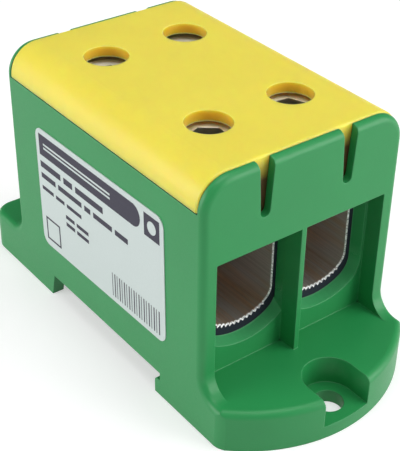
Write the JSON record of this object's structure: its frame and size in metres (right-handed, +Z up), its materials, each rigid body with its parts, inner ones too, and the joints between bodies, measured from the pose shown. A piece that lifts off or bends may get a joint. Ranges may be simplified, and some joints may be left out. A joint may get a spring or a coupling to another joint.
{
  "type": "earth terminal block",
  "caption": "Green and yellow rail-mount earth terminal block with screw-clamp wire tunnels, a clip-in cover with key holes and a flanged foot.",
  "frame": {"origin": "middle of the body's underside, on the mounting surface", "axes": "+X along the wires towards the front end, +Y away from the label, +Z up"},
  "size_m": [0.0863, 0.0422, 0.0495],
  "materials": {
    "housing_plastic": "satin moulded green",
    "cover_plastic": "satin moulded yellow",
    "tinned_aluminium": "tin-plated extrusion",
    "screw_steel": "zinc-plated",
    "label_film": "pale printed film"
  },
  "bodies": {
    "base": {"housing": "housing_plastic", "cover": "cover_plastic", "left_clamp_block": "tinned_aluminium", "right_clamp_block": "tinned_aluminium", "side_label": "label_film"},
    "left_front_screw": {"left_front_screw": "screw_steel"},
    "left_rear_screw": {"left_rear_screw": "screw_steel"},
    "right_front_screw": {"right_front_screw": "screw_steel"},
    "right_rear_screw": {"right_rear_screw": "screw_steel"}
  },
  "joints": [
    {"name": "left_front_clamp", "type": "slide", "parent": "base", "child": "left_front_screw", "axis": [0, 0, 1], "range_m": [-0.0115, 0.0005]},
    {"name": "left_rear_clamp", "type": "slide", "parent": "base", "child": "left_rear_screw", "axis": [0, 0, 1], "range_m": [-0.0108, 0.0012]},
    {"name": "right_front_clamp", "type": "slide", "parent": "base", "child": "right_front_screw", "axis": [0, 0, 1], "range_m": [-0.0115, 0.0005]},
    {"name": "right_rear_clamp", "type": "slide", "parent": "base", "child": "right_rear_screw", "axis": [0, 0, 1], "range_m": [-0.0108, 0.0012]}
  ]
}
